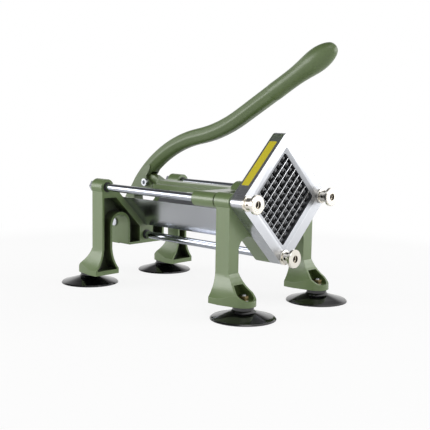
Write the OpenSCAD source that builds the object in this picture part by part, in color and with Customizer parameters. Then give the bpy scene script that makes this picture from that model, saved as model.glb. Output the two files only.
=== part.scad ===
// A hand lever press that pushes a potato through a square grid of blades.
// Millimetres. X runs to the right, Y from the blades to the rear, Z up.
// The origin lies on the table under the middle of the whole press.

/* [Blades] */
// Number of cells across the blade window
cell_count = 8; // [6:1:9]
// Clear width of one square cell
cell_size = 9.4; // [8.6:0.1:10.4]
// Thickness of a blade strip
blade_t = 0.5; // [0.4:0.1:0.8]
// Depth of a blade strip along the cut
blade_depth = 5; // [4:0.25:5.5]

/* [Blade frame] */
// Width of the frame round the window
frame_border = 18.15; // [17:0.25:22]
// Radius of the frame's corners
frame_corner_r = 7.5; // [4:0.5:9]
// Thickness of the front plate, which holds the blades
front_plate_t = 13.2; // [12.8:0.2:16]
// Thickness of the back plate, which clamps them
back_plate_t = 4.8; // [4:0.2:7]
// Width of the bevel round the window's front edge
bevel_w = 4.8; // [3:0.2:6]
// Depth of that bevel
bevel_d = 2.2; // [1.5:0.1:2.4]

/* [Rods and thumb nuts] */
// Diameter of the three rods
rod_d = 10; // [9:0.5:11]
// Diameter of the threaded studs at their ends
stud_d = 8; // [6:0.5:8.5]
// Distance from the frame's sharp corner in to the rod's axis
rod_inset = 12; // [11.5:0.5:14]
// Diameter of a thumb nut's head
nut_head_d = 22.5; // [20:0.5:26]
// Length of a thumb nut
nut_len = 17; // [15:0.5:20]

/* [Castings] */
// Height of the window's centre above the table
head_height = 132.5; // [130:0.5:145]
// Depth of the front casting round the window
head_d = 23; // [22:0.5:26]
// How far the rod bosses stand out behind the front casting
boss_out = 0.5; // [0.5:0.5:4]
// Diameter of the rod bosses
boss_w = 21; // [19:0.5:22]
// Width of a leg
leg_w = 17; // [15:0.5:19]
// Depth of a leg
leg_d = 21; // [19:0.5:22]
// Wall of the hollow legs and feet
wall = 3.2; // [2.4:0.2:3.6]
// Thickness of the face that closes a hollow leg
web_t = 4; // [3:0.25:5]
// Radius of the arch between a front leg and the frame
arch_r = 15; // [10:1:17]
// Half the width of the block under the rear casting's seat
block_half = 33; // [31:0.5:36]
// How far that block's underside is below the rods
block_drop = 80.8; // [78.5:0.5:82.5]
// Width of the rim along the rear casting's seat
rim_w = 8.4; // [7:0.2:9]

/* [Feet and suction cups] */
// Distance from the front cups to the rear cups
foot_spacing = 280; // [272:1:296]
// Width of a foot
foot_w = 39.5; // [36:0.5:42]
// Thickness of a foot's edge
foot_t = 7; // [6:0.25:8]
// Distance from the leg's middle to the cup's axis
foot_reach = 26.5; // [25:0.5:30]
// Radius of the foot's tongue over the cup
tongue_r = 15; // [13.5:0.5:16]
// Diameter of a suction cup
cup_d = 76.5; // [70:0.5:82]
// Height of a suction cup
cup_h = 15; // [13:0.5:17]
// Diameter of its neck
neck_d = 25; // [22:0.5:26]
// Diameter of its stud
cup_stud_d = 6; // [5:0.5:7]

/* [Trough] */
// Distance from the window's axis to the trough's inner faces
trough_half = 38.9; // [38.85:0.05:39.2]
// Thickness of the trough's sheet
trough_t = 1.2; // [0.9:0.1:1.3]
// How far the trough's open edges are below the rods
trough_drop = 14.5; // [13.5:0.5:22]

/* [Pusher and carriage] */
// Travel of the carriage
stroke = 84; // [80:1:86]
// Width of one pusher finger
finger_w = 7.2; // [6.4:0.1:7.4]
// Length of a finger
finger_len = 17.5; // [16:0.5:18.5]
// Thickness of the plate that carries the fingers
plate_t = 8; // [6.5:0.25:8]
// Diameter of the sleeves on the rods
sleeve_d = 18.3; // [17.5:0.1:19]
// Length of a sleeve
sleeve_len = 35; // [30:1:42]
// Diameter of the bushes in the sleeves
bush_d = 13; // [12.5:0.25:14]
// Half the width of the beam's tongue in the lever's fork
tongue_half = 5.2; // [4.6:0.2:5.4]
// Half the width of the beam's rib
rib_half = 8.8; // [7:0.2:8.8]
// Half the width of the beam's flange
flange_half = 15; // [12:0.5:16]
// Height of the beam from the flange's underside to the rib's top
beam_h = 11; // [9:0.5:11.5]

/* [Lever] */
// Height of the lever's pivot above the window's centre
pivot_rise = 4.5; // [3.5:0.25:5]
// Height of the lever's pivot above the fixed pin
pivot_over_pin = 56; // [54:0.5:57]
// Distance of the pivot ahead of the fixed pin at rest
pivot_ahead = 39.5; // [38.5:0.25:40.5]
// Distance of the fixed pin behind the rear casting
pin_back = 7.5; // [7.5:0.25:9]
// Swing of the lever over the whole stroke, in degrees
swing = 75; // [73:1:76]
// Width across the lever's fork
fork_w = 20.6; // [20:0.2:23]
// Diameter of the pivot bolt
bolt_d = 6; // [5:0.5:7]
// Diameter of the fixed pin
pin_d = 8; // [7:0.25:8]
// Width of the lever's arm
arm_w = 20.6; // [18:0.2:22]
// Length of the grip
grip_len = 102; // [90:1:120]
// Diameter of the bulb at the grip's end
bulb_d = 27.4; // [25:0.2:30]

/* [Hidden] */
$fn = 96;

// Overrun of every cut past the face that it opens
over = 1;
// Clearances: a turning or sliding fit, a fixed fit, and a gap between pieces that pass each other
run_gap = 0.05;
fit_gap = 0.03;
pass_gap = 0.4;
// Gap that keeps a stop or a nut just off its face
stop_gap = 0.3;
// Facets of one rounded corner
corner_steps = 7;

// Blade frame details
blade_back = 2.6;
blade_grip = 5;
slot_gap = 0.05;
frame_screw_d = 4;
frame_screw_head_d = 7.6;
frame_screw_head_h = 2.4;
frame_screw_len = 11;
frame_screw_out = 11.5;

// Rod details: how deep the shoulder lies in each casting, and the nuts behind
shoulder_in = 4;
stud_out = 13.6;
rod_nut_w = 13;
rod_nut_t = 6.5;
rod_washer_w = 16;
rod_washer_t = 1.6;
stud_past = 2;
ring_t = 1.4;
ring_w = 1.4;
window_corner_r = 2.4;
lower_rod_end = 2.2;

// Thumb nut details
nut_neck_d = 14.6;
nut_base_d = 18;
nut_base_t = 2.2;
nut_head_t = 4.4;
nut_cone = 2.6;
nut_hole_d = 9;
nut_hole_deep = 3.4;
cross_hole_d = 3;
nut_edge = 0.8;

// Casting details
block_r = 3;
arch_share = 0.49;
arch_rise = 42.8;
window_gap = 0.4;
rebate_d = 3;
rebate_gap = 0.05;
seat_gap = 0.1;
recess_drop = 4;

// Foot details
base_t = 5.8;
flare_h = 35;
scoop_h = 36;
pocket_h = 17.2;
flare_r = 50;
sweep_r = 62;
foot_shoulder = 4;
sweep_front = 11;

// Bracket on the rear casting
cheek_t = 5;
cheek_back = 13.5;
cheek_top = 10;
cheek_low_r = 8;
cheek_top_r = 9;
foot_pocket_gap = 1;
foot_pocket_deep = 11.3;

// Suction cup details
flange_t = 1.4;
cup_edge_t = 0.7;
cone_r = 28;
cone_h = 4.6;
neck_low = 8.6;
neck_fillet = 2.4;
lip_w = 1.3;
hollow_h = 3.8;
stud_head_d = 12;
stud_head_h = 2.6;
stud_head_z = 6.2;
cup_nut_w = 10;
cup_nut_t = 5;
cup_washer_w = 12;
cup_washer_t = 1;

// Trough details
trough_bend_r = 2.6;
trough_len_in = 9;

// Pusher and carriage details
finger_chamfer = 0.8;
tip_back = 4.5;
plate_corner_r = 4;
pad_r = 30;
pad_t = 6;
hub_r = 17;
pad_screw_place = 23.5;
pad_screw_d = 5;
pad_screw_head_d = 8.4;
pad_screw_head_h = 4;
pad_screw_sink = 5;
flange_ring_t = 2.5;
rear_ring_t = 1.2;
bush_flange_d = 16.4;
bush_len = 9;
bar_inset = 4;
bar_deep = 27;
bar_low = 10.5;
bar_end_low = 8;
bar_top = 8.5;
bar_dip_half = 30;
flange_h = 6;
flange_wide = 7;
flange_taper = 34;
neck_from = 17.5;
tongue_end_r = 11;
neck_rise_share = 0.86;

// Lever details
fork_free_r = 15.5;
fork_size = 40;
arm_start_back = 19.7;
arm_start_up = 36;
arm_bend_r = 190;
arm_lift_r = 220;
slope_start = 34;
slope_fork = 50;
slope_low = 10.6;
slope_grip = 30.3;
straight_len = 58;
foot_half = 8;
foot_wall = 3.6;
sway_gap = 0.35;
arm_h_share = 0.97;
ridge_share = 0.62;
crown_share = 0.7;
core_len = 8;
corner_share = 0.05;
bolt_head_d = 10;
bolt_head_h = 5;
bolt_socket_w = 5;
bolt_socket_deep = 3;
bolt_nut_w = 10;
bolt_nut_t = 5;
bolt_washer_d = 12;
bolt_washer_t = 1.2;
bolt_past = 1.5;
pin_head_d = 11;
pin_head_t = 2;
pin_past = 4;
clip_d = 12;
clip_t = 1.2;
spacer_wall = 2.4;

// Sizes that follow from the ones above
pitch = cell_size + blade_t;
window = cell_count * pitch - blade_t;
frame_side = window + 2 * frame_border;
frame_reach = frame_side / sqrt(2);
rod_place = frame_reach - rod_inset;
casting_rel = front_plate_t + back_plate_t;
// The front casting is as deep as its head, or as its legs where they are deeper
front_d = max(head_d, leg_d);
boss_d = front_d + boss_out;
leg_in = rod_place - leg_w / 2;
leg_out = rod_place + leg_w / 2;
front_leg_rel = casting_rel + leg_d / 2;
front_foot_rel = front_leg_rel - foot_reach;
rear_foot_rel = front_foot_rel + foot_spacing;
rear_leg_rel = rear_foot_rel - foot_reach;
rear_rel = rear_leg_rel - leg_d / 2;
pin_rel = rear_rel + leg_d + pin_back;
pivot_rel = pin_rel - pivot_ahead;

// Lever arm: two arcs and a straight, as slopes from the horizontal
function lean(a) = [sin(a), cos(a)];
arm_start = [-arm_start_back, arm_start_up];
bend_centre = arm_start - arm_bend_r * lean(slope_start);
lift_from = bend_centre + arm_bend_r * lean(slope_low);
lift_centre = lift_from + arm_lift_r * lean(slope_low);
straight_from = lift_centre - arm_lift_r * lean(slope_grip);
straight_way = [-cos(slope_grip), sin(slope_grip)];
grip_from = straight_from + straight_way * straight_len;
tip = grip_from + straight_way * grip_len;

// Places along Y, with the origin midway between the lever's tip and the rear cups' rims
tip_rel = pivot_rel + tip.x;
back_rel = rear_foot_rel + cup_d / 2;
face_y = -(tip_rel + back_rel) / 2;
casting_y0 = face_y + casting_rel;
casting_y1 = casting_y0 + front_d;
boss_y1 = casting_y0 + boss_d;
front_leg_y = face_y + front_leg_rel;
front_foot_y = face_y + front_foot_rel;
rear_foot_y = face_y + rear_foot_rel;
rear_leg_y = face_y + rear_leg_rel;
rear_y0 = face_y + rear_rel;
rear_y1 = rear_y0 + leg_d;
pin_y = face_y + pin_rel;
pivot_y = face_y + pivot_rel;
pivot_z = head_height + pivot_rise;
pin_z = pivot_z - pivot_over_pin;
base_top = cup_h + base_t;
edge_top = cup_h + foot_t;
flare_z = cup_h + flare_h;

// Rear casting's seat for the trough
seat_half = trough_half + trough_t + seat_gap;
seat_low = head_height - seat_half * sqrt(2);
trough_top = head_height - trough_drop;
block_low = head_height - block_drop;
rim_low = seat_low - rim_w * sqrt(2);
arch_w = leg_in - block_half;
arch_top = block_low + arch_rise;
recess_top = head_height - boss_w / 2 - recess_drop;

// Carriage places at rest
bush_y = boss_y1 + stop_gap;
sleeve_y0 = bush_y + flange_ring_t;
sleeve_y1 = sleeve_y0 + sleeve_len;
finger_y0 = face_y + tip_back;
plate_y0 = finger_y0 + finger_len;
plate_y1 = plate_y0 + plate_t;
plate_side = (cell_count - 1) * pitch + finger_w;
bar_y0 = sleeve_y0 + bar_inset;
bar_y1 = bar_y0 + bar_deep;
beam_top = head_height + bar_top;
beam_low = beam_top - beam_h;

// How far the fixed pin strays across the foot's slot when lever and carriage move at one steady ratio
function turned(v, a) = [v.x * cos(a) - v.y * sin(a), v.x * sin(a) + v.y * cos(a)];
function pin_at(share) = turned([pivot_ahead - stroke * share, -pivot_over_pin], swing * share);
pin_way = pin_at(0) / norm(pin_at(0));
sway = max([for (i = [0 : 20]) abs(cross(pin_way, pin_at(i / 20)))]);
slot_half = pin_d / 2 + sway + sway_gap;
slot_from = min([for (i = [0 : 20]) pin_way * pin_at(i / 20)]);
slot_to = max([for (i = [0 : 20]) pin_way * pin_at(i / 20)]);
slot_lean = atan2(pin_way.y, pin_way.x);
foot_r = slot_half + foot_wall;

// Outlines of the lever's fork and foot, seen from the side, as shares of the fork's size
fork_shares = [[-0.275, -0.065], [0.05, 0.175], [-0.125, 0.425], [-0.2, 0.62], [0.2, 0.5], [0.575, 0.125],
    [0.8, -0.2], [0.875, -0.4], [0.6, -0.475], [0.2, -0.375], [-0.15, -0.325], [-0.3, -0.2]];
// Outline of the foot from the fork down to the slot, as shares of the height over the pin
strut_shares = [[0.3, 0.2], [0.46, 0], [0.68, -0.2], [0.83, -0.42], [0.9, -0.72], [0.89, -1.02], [0.55, -1.05],
    [0.42, -0.86], [0.47, -0.6], [0.5, -0.38], [0.36, -0.18]];
// Outline of the bulbous grip, as shares of its length and of the bulb's radius
grip_shares = [[0, 0.76], [0.02, 0.8], [0.2, 0.79], [0.36, 0.8], [0.5, 0.87], [0.6, 0.95], [0.69, 1],
    [0.77, 0.98], [0.85, 0.88], [0.92, 0.7], [0.97, 0.45], [1, 0]];

// Points on an arc round a centre
function arc(centre, r, from, to, steps) =
    [for (i = [0 : steps]) centre + r * [cos(from + (to - from) * i / steps), sin(from + (to - from) * i / steps)]];

// Points on a shallow arc from a to b that bulges to the right of the way from a to b
function bow(a, b, r, steps) =
    let (half = norm(b - a) / 2,
         left = [a.y - b.y, b.x - a.x] / (2 * half),
         centre = (a + b) / 2 + left * sqrt(r * r - half * half),
         from = atan2(a.y - centre.y, a.x - centre.x))
    arc(centre, r, from, from + 2 * asin(half / r), steps);

// An outline's points in the other order
function flipped(p) = [for (i = [len(p) - 1 : -1 : 0]) p[i]];

// One corner of an outline, rounded to radius r
function corner(a, b, c, r) =
    let (u = (a - b) / norm(a - b),
         v = (c - b) / norm(c - b),
         half = acos(u * v) / 2,
         middle = (u + v) / norm(u + v),
         centre = b + middle * r / sin(half),
         start = b + u * r / tan(half) - centre,
         turn = sign(cross(b - a, c - b)) * (180 - 2 * half))
    r == 0 ? [b] : [for (i = [0 : corner_steps]) centre + turned(start, turn * i / corner_steps)];

// An outline of [across, up, radius] corners, with each corner rounded
function rounded(p) =
    let (n = len(p))
    [for (i = [0 : n - 1])
        let (a = p[(i + n - 1) % n], b = p[i], c = p[(i + 1) % n])
        each corner([a.x, a.y], [b.x, b.y], [c.x, c.y], b.z)];

// The right half of an outline and its mirror image on the left
function both_sides(p) =
    concat(p, [for (i = [len(p) - 1 : -1 : 0]) if (p[i].x > 0) [-p[i].x, p[i].y, p[i].z]]);
function both_halves(p) =
    concat(p, [for (i = [len(p) - 1 : -1 : 0]) if (p[i].x > 0) [-p[i].x, p[i].y]]);

// A smooth curve through points
function curve(p, steps) =
    let (n = len(p))
    concat([for (i = [0 : n - 2], k = [0 : steps - 1])
        let (a = p[max(i - 1, 0)], b = p[i], c = p[i + 1], d = p[min(i + 2, n - 1)], t = k / steps)
        (2 * b + (c - a) * t + (2 * a - 5 * b + 4 * c - d) * t * t
            + (3 * b - a - 3 * c + d) * t * t * t) / 2], [p[n - 1]]);

// Point where the line from p touches the circle, on its right
function touch(p, centre, r) =
    let (way = (p - centre) / norm(p - centre))
    centre + r * turned(way, -acos(r / norm(p - centre)));

// An outline drawn across and up, standing from y0 back by depth
module upright(y0, depth) {
    translate([0, y0 + depth, 0]) rotate([90, 0, 0]) linear_extrude(depth) children();
}

// An outline drawn along Y and up, as thick as width, centred on X
module sideways(width) {
    rotate([90, 0, 90]) linear_extrude(width, center = true) children();
}

// A cylinder along Y at x and z
module along(x, y0, z, length, r) {
    translate([x, y0, z]) rotate([-90, 0, 0]) cylinder(h = length, r = r);
}

// A revolved outline with its axis along Y at x and z
module revolved(x, y0, z, points) {
    translate([x, y0, z]) rotate([-90, 0, 0]) rotate_extrude() polygon(points);
}

// A hexagon along Y
module hex_along(x, y0, z, length, across) {
    translate([x, y0, z]) rotate([-90, 0, 0]) cylinder(h = length, r = across / sqrt(3), $fn = 6);
}

// A square prism standing on its corner round the window's axis
module on_corner(side, y0, depth) {
    translate([0, 0, head_height]) upright(y0, depth) rotate(45) square(side, center = true);
}

// A rounded square plate standing on its corner round the window's axis
module diamond(side, r, y0, depth) {
    reach = side / sqrt(2);
    translate([0, 0, head_height]) upright(y0, depth)
        polygon(rounded([[0, -reach, r], [reach, 0, r], [0, reach, r], [-reach, 0, r]]));
}

// Places the children at the three rods
module at_rods() {
    for (a = [0, 180, 270])
        translate([rod_place * cos(a), 0, head_height + rod_place * sin(a)]) children();
}

// A ring or tube along Y
module tube(x, y0, z, length, outer_r, inner_r) {
    revolved(x, y0, z, [[inner_r, 0], [outer_r, 0], [outer_r, length], [inner_r, length]]);
}

// Plan of a foot, drawn with its tongue towards -Y and the leg's middle at zero
module foot_plan(inset) {
    half = foot_w / 2 - inset;
    r = tongue_r - inset;
    edge = touch([half, -foot_shoulder], [0, -foot_reach], r);
    polygon(both_halves([edge, [half, -foot_shoulder], [half, leg_d / 2]]));
    translate([0, -foot_reach]) circle(r);
}

// Front view of a foot: the leg's faces flare out to the foot's edges
module foot_front(inset, low, top) {
    half = foot_w / 2 - inset;
    leg_half = leg_w / 2 - inset;
    flare = bow([leg_half, flare_z], [half, edge_top], flare_r, corner_steps);
    polygon(both_halves(concat([[half, low]], flipped(flare), [[leg_half, top]])));
}

// Side view of a foot: its walls sweep down from the leg to the end of the tongue
module foot_side() {
    sweep = bow([-foot_reach - sweep_front, edge_top], [-leg_d / 2, cup_h + scoop_h], sweep_r, corner_steps);
    end = foot_reach + tongue_r + over;
    polygon(concat([[-end, cup_h], [-end, edge_top]], sweep,
        [[-leg_d / 2, flare_z + over], [leg_d / 2, flare_z + over], [leg_d / 2, cup_h]]));
}

// One foot, with its tongue towards -Y and the leg's middle at zero
module foot() {
    intersection() {
        translate([0, 0, cup_h]) linear_extrude(flare_h) foot_plan(0);
        sideways(foot_w) foot_side();
        upright(-foot_reach - tongue_r - over, foot_reach + tongue_r + leg_d + over)
            foot_front(0, cup_h, flare_z + over);
    }
}

// What is hollow in a foot: the scoop over the cup, the leg's channel and the stud's hole
module foot_hollows() {
    length = foot_reach + tongue_r + over;
    intersection() {
        translate([0, 0, base_top]) linear_extrude(pocket_h) foot_plan(wall);
        upright(-length, length - leg_d / 2) foot_front(wall, base_top, flare_z + 2 * over);
    }
    upright(-leg_d / 2 + web_t, leg_d) foot_front(wall, base_top, flare_z + over);
    translate([0, -foot_reach, cup_h - over])
        cylinder(h = base_t + 2 * over, r = cup_stud_d / 2 + pass_gap);
}

// Places the children at both legs of a casting
module at_legs(y, turn) {
    for (side = [-1, 1])
        translate([side * rod_place, y, 0]) rotate(turn) children();
}

module front_frame() {
    low = head_height - frame_reach;
    channel_half = leg_w / 2 - wall;
    outline = [[0, low, frame_corner_r], [leg_in, low + leg_in, arch_r], [leg_in, cup_h, 0],
        [leg_out, cup_h, 0], [leg_out, head_height, 0], [0, head_height, 0]];
    color("olivedrab") difference() {
        union() {
            intersection() {
                diamond(frame_side, frame_corner_r, casting_y0, front_d);
                upright(casting_y0, front_d) translate([-frame_reach, low]) square([2 * frame_reach, frame_reach]);
            }
            upright(casting_y0, leg_d) polygon(rounded(both_sides(outline)));
            for (side = [-1, 1])
                along(side * rod_place, casting_y0, head_height, boss_d, boss_w / 2);
            at_legs(front_leg_y, 0) foot();
        }
        on_corner(window + 2 * window_gap, casting_y0 - over, front_d + 2 * over);
        on_corner(2 * (trough_half + trough_t + rebate_gap), casting_y1 - rebate_d, rebate_d + over);
        at_rods() {
            along(0, casting_y0 - over, 0, shoulder_in + 2 * over, stud_d / 2 + fit_gap);
            along(0, casting_y0 + shoulder_in, 0, boss_d, rod_d / 2 + fit_gap);
        }
        at_legs(front_leg_y, 0) {
            foot_hollows();
            upright(-leg_d / 2 + web_t, leg_d) polygon(rounded([[-channel_half, flare_z, 0],
                [channel_half, flare_z, 0], [channel_half, recess_top, channel_half * arch_share * 2],
                [-channel_half, recess_top, channel_half * arch_share * 2]]));
        }
    }
}

// The recess in the rear casting's face: from the leg over the arch and down beside the block's post
module rear_recess() {
    centre = [block_half + arch_w / 2, arch_top - arch_w * arch_share];
    r = arch_w / 2 + wall;
    rim = arc(centre, r, 180, 0, 4 * corner_steps);
    post = foot_half + foot_pocket_gap + wall;
    upright(rear_y0 - over, leg_d - web_t + over)
        polygon(concat([[leg_out - wall, flare_z], [leg_out - wall, recess_top], [recess_top - rim_low, recess_top],
            [post, rim_low + post], [post, block_low + wall], [block_half - wall, block_low + wall]], rim,
            [[leg_in + wall, flare_z]]));
}

// One cheek of the bracket that holds the lever's fixed pin
module cheek(x) {
    back = pin_y + cheek_back;
    top = pin_z + cheek_top;
    translate([x, 0, 0]) sideways(cheek_t)
        polygon(rounded([[rear_y1 - over, block_low, 0], [back, block_low, cheek_low_r],
            [back, top, cheek_top_r], [rear_y1 - over, top, 0]]));
}

module rear_frame() {
    r = arch_w * arch_share;
    outline = [[block_half, block_low, block_r], [block_half, arch_top, r], [leg_in, arch_top, r],
        [leg_in, cup_h, 0], [leg_out, cup_h, 0], [leg_out, head_height, 0],
        [head_height - seat_low, head_height, 0], [0, seat_low, 0]];
    color("olivedrab") difference() {
        union() {
            upright(rear_y0, leg_d) polygon(rounded(both_sides(outline)));
            for (side = [-1, 1]) {
                along(side * rod_place, rear_y0, head_height, leg_d, boss_w / 2);
                cheek(side * (block_half - cheek_t / 2));
            }
            at_legs(rear_leg_y, 180) foot();
        }
        for (side = [0, 1])
            mirror([side, 0, 0]) rear_recess();
        at_legs(rear_leg_y, 180) foot_hollows();
        for (side = [-1, 1]) {
            along(side * rod_place, rear_y0 - over, head_height, leg_d + 2 * over, stud_d / 2 + fit_gap);
            along(side * rod_place, rear_y0 - over, head_height, leg_d - shoulder_in + over,
                rod_d / 2 + fit_gap);
        }
        along(0, rear_y0 - over, head_height - rod_place, leg_d - foot_pocket_deep - lower_rod_end + over,
            rod_d / 2 + fit_gap);
        translate([-foot_half - foot_pocket_gap, rear_y1 - foot_pocket_deep, block_low - over])
            cube([2 * (foot_half + foot_pocket_gap), foot_pocket_deep + over, head_height - block_low]);
        translate([-block_half - over, pin_y, pin_z]) rotate([0, 90, 0])
            cylinder(h = 2 * (block_half + over), r = pin_d / 2 + fit_gap);
    }
}

// A guide rod with a threaded stud at each end
module guide_rod(x) {
    y0 = casting_y0 + shoulder_in;
    y1 = rear_y1 - shoulder_in;
    back = shoulder_in + rod_washer_t + rod_nut_t + stud_past;
    color("silver") {
        along(x, y0, head_height, y1 - y0, rod_d / 2);
        along(x, face_y - stud_out, head_height, y0 - face_y + stud_out, stud_d / 2);
        along(x, y1, head_height, back, stud_d / 2);
    }
}

module guide_rod_left() {
    guide_rod(-rod_place);
}

module guide_rod_right() {
    guide_rod(rod_place);
}

module lower_rod() {
    y0 = casting_y0 + shoulder_in;
    y1 = rear_y1 - foot_pocket_deep - lower_rod_end;
    z = head_height - rod_place;
    color("silver") {
        along(0, y0, z, y1 - y0, rod_d / 2);
        along(0, face_y - stud_out, z, y0 - face_y + stud_out, stud_d / 2);
    }
}

module rod_nuts() {
    color("silver") for (side = [-1, 1]) difference() {
        hex_along(side * rod_place, rear_y1 + rod_washer_t, head_height, rod_nut_t, rod_nut_w);
        along(side * rod_place, rear_y1, head_height, rod_nut_t + rod_washer_t + over, stud_d / 2 + fit_gap);
    }
}

module rod_washers() {
    color("silver") for (side = [-1, 1])
        tube(side * rod_place, rear_y1, head_height, rod_washer_t, rod_washer_w / 2, stud_d / 2 + fit_gap);
}

module rod_ring_left() {
    color("black") tube(-rod_place, rear_y0 - ring_t, head_height, ring_t, rod_d / 2 + ring_w, rod_d / 2 + fit_gap);
}

module rod_ring_right() {
    color("black") tube(rod_place, rear_y0 - ring_t, head_height, ring_t, rod_d / 2 + ring_w, rod_d / 2 + fit_gap);
}

module rod_ring_lower() {
    color("black") tube(0, rear_y0 - ring_t, head_height - rod_place, ring_t, rod_d / 2 + ring_w,
        rod_d / 2 + fit_gap);
}

module trough() {
    outer_low = head_height - (trough_half + trough_t) * sqrt(2);
    inner_low = head_height - trough_half * sqrt(2);
    y0 = casting_y1 - rebate_d;
    color("gray") upright(y0, rear_y0 + trough_len_in - y0)
        polygon(rounded([[0, outer_low, trough_bend_r], [trough_top - outer_low, trough_top, 0],
            [trough_top - inner_low, trough_top, 0], [0, inner_low, trough_bend_r - trough_t],
            [inner_low - trough_top, trough_top, 0], [outer_low - trough_top, trough_top, 0]]));
}

module carriage() {
    bush_r = bush_d / 2 + fit_gap;
    tongue_z = pivot_z + tongue_end_r * neck_rise_share;
    wide = flange_half + flange_wide;
    neck_y = pivot_y - neck_from;
    tongue_y = pivot_y - 2 * tongue_end_r;
    color("olivedrab") difference() {
        union() {
            along(0, plate_y1, head_height, pad_t, pad_r);
            along(0, plate_y1, head_height, bar_y1 - plate_y1, hub_r);
            upright(bar_y0, bar_deep)
                polygon(both_halves([[bar_dip_half, head_height - bar_low], [rod_place, head_height - bar_end_low],
                    [rod_place, beam_top]]));
            for (side = [-1, 1])
                along(side * rod_place, sleeve_y0, head_height, sleeve_len, sleeve_d / 2);
            translate([0, 0, beam_low]) linear_extrude(flange_h)
                polygon(both_halves([[wide, bar_y1 - over], [wide, bar_y1], [flange_half, bar_y1 + flange_taper],
                    [flange_half, neck_y]]));
            sideways(2 * rib_half)
                polygon([[bar_y0, beam_low], [neck_y, beam_low], [neck_y, beam_top], [bar_y0, beam_top]]);
            sideways(2 * tongue_half)
                polygon([[tongue_y, beam_low], [pivot_y, beam_low], [pivot_y, tongue_z],
                    [pivot_y - tongue_end_r * neck_rise_share, tongue_z], [tongue_y, beam_top]]);
            translate([-tongue_half, pivot_y, pivot_z]) rotate([0, 90, 0])
                cylinder(h = 2 * tongue_half, r = tongue_end_r);
        }
        for (side = [-1, 1])
            along(side * rod_place, sleeve_y0 - over, head_height, sleeve_len + 2 * over, bush_r);
        for (a = [0 : 90 : 270])
            translate([0, 0, head_height]) rotate([0, a, 0])
                along(pad_screw_place, plate_y1 - over, 0, pad_t + 2 * over, pad_screw_d / 2 + fit_gap);
        translate([-tongue_half - over, pivot_y, pivot_z]) rotate([0, 90, 0])
            cylinder(h = 2 * (tongue_half + over), r = bolt_d / 2 + run_gap);
    }
}

// A flanged bush: its body lies inside the sleeve from y0 towards way
module bush(x, y0, way, collar_t) {
    color([0.08, 0.08, 0.08]) translate([x, y0, head_height]) rotate([-90 * way, 0, 0]) rotate_extrude()
        polygon([[rod_d / 2 + run_gap, -collar_t], [bush_flange_d / 2, -collar_t], [bush_flange_d / 2, 0],
            [bush_d / 2, 0], [bush_d / 2, bush_len], [rod_d / 2 + run_gap, bush_len]]);
}

module bush_front_left() {
    bush(-rod_place, sleeve_y0, 1, flange_ring_t);
}

module bush_front_right() {
    bush(rod_place, sleeve_y0, 1, flange_ring_t);
}

module bush_rear_left() {
    bush(-rod_place, sleeve_y1, -1, rear_ring_t);
}

module bush_rear_right() {
    bush(rod_place, sleeve_y1, -1, rear_ring_t);
}

module pusher_block() {
    edge = plate_side / 2 + over;
    color([0.12, 0.12, 0.13]) difference() {
        union() {
            diamond(plate_side, plate_corner_r, plate_y0, plate_t);
            translate([0, 0, head_height]) upright(finger_y0, finger_len + over) rotate(45)
                for (i = [0 : cell_count - 1], k = [0 : cell_count - 1])
                    translate([i - (cell_count - 1) / 2, k - (cell_count - 1) / 2] * pitch)
                        square(finger_w, center = true);
        }
        for (a = [-45, 45], i = [0 : cell_count])
            translate([0, finger_y0, head_height]) rotate([0, a, 0])
                translate([(i - cell_count / 2) * pitch, 0, 0]) linear_extrude(2 * edge, center = true)
                    polygon(chamfer_groove());
        for (a = [0 : 90 : 270])
            translate([0, 0, head_height]) rotate([0, a, 0])
                along(pad_screw_place, plate_y1 - pad_screw_sink, 0, pad_screw_sink + over,
                    pad_screw_d / 2 + fit_gap);
    }
}

// Section of the groove that bevels the tips of two neighbouring rows of fingers
function chamfer_groove() =
    let (half = (pitch - finger_w) / 2, top = half + finger_chamfer)
    [[-top - over, -over], [top + over, -over], [half, finger_chamfer], [-half, finger_chamfer]];

module pusher_screws() {
    color("silver") for (a = [0 : 90 : 270])
        translate([0, 0, head_height]) rotate([0, a, 0]) {
            along(pad_screw_place, plate_y1 - pad_screw_sink, 0, pad_screw_sink + pad_t, pad_screw_d / 2);
            along(pad_screw_place, plate_y1 + pad_t, 0, pad_screw_head_h, pad_screw_head_d / 2);
        }
}

// Section of the lever's arm: an oval with a soft ridge along each side
module arm_section() {
    half = arm_w / 2;
    up = half * arm_h_share;
    polygon(rounded([[half, 0, half * ridge_share], [half * crown_share, up, half * ridge_share],
        [-half * crown_share, up, half * ridge_share], [-half, 0, half * ridge_share],
        [-half * crown_share, -up, half * ridge_share], [half * crown_share, -up, half * ridge_share]]));
}

// A stretch of the arm along an arc about centre, turned from straight down
module arm_arc(centre, r, from, sweep) {
    translate([0, centre.x, centre.y]) rotate([0, 90, 0]) rotate(from)
        rotate_extrude(angle = sweep, $fn = 180) translate([r, 0]) rotate(90) arm_section();
}

// Places the children at a point of the lever's side view, with Z along a slope
module on_slope(place, slope) {
    translate([0, place.x, place.y]) rotate([90 - slope, 0, 0]) children();
}

// The arm's heart where two of its stretches meet, so that they are one piece
module arm_core(place, slope) {
    on_slope(place, slope) cylinder(h = core_len, r = arm_w / 4, center = true);
}

// Grip outline: distance from the axis and distance along it
module grip() {
    points = [for (p = curve(grip_shares, 4)) [p.y * bulb_d / 2, p.x * grip_len]];
    rotate_extrude() polygon(concat([[0, 0]], points));
}

// What the beam's end needs free between the fork's cheeks, all through the swing
module fork_slot() {
    sideways(2 * (tongue_half + pass_gap)) {
        circle(fork_free_r);
        polygon(concat([[0, 0]], [for (a = [146 : 34.5 : 284]) fork_size * [cos(a), sin(a)]]));
    }
}

// The slot in the lever's foot, seen from the side, with ends of radius r
module slot_shape(r) {
    rotate(slot_lean) {
        translate([slot_from, -r]) square([slot_to - slot_from, 2 * r]);
        translate([slot_from, 0]) circle(r);
        translate([slot_to, 0]) circle(r);
    }
}

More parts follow.
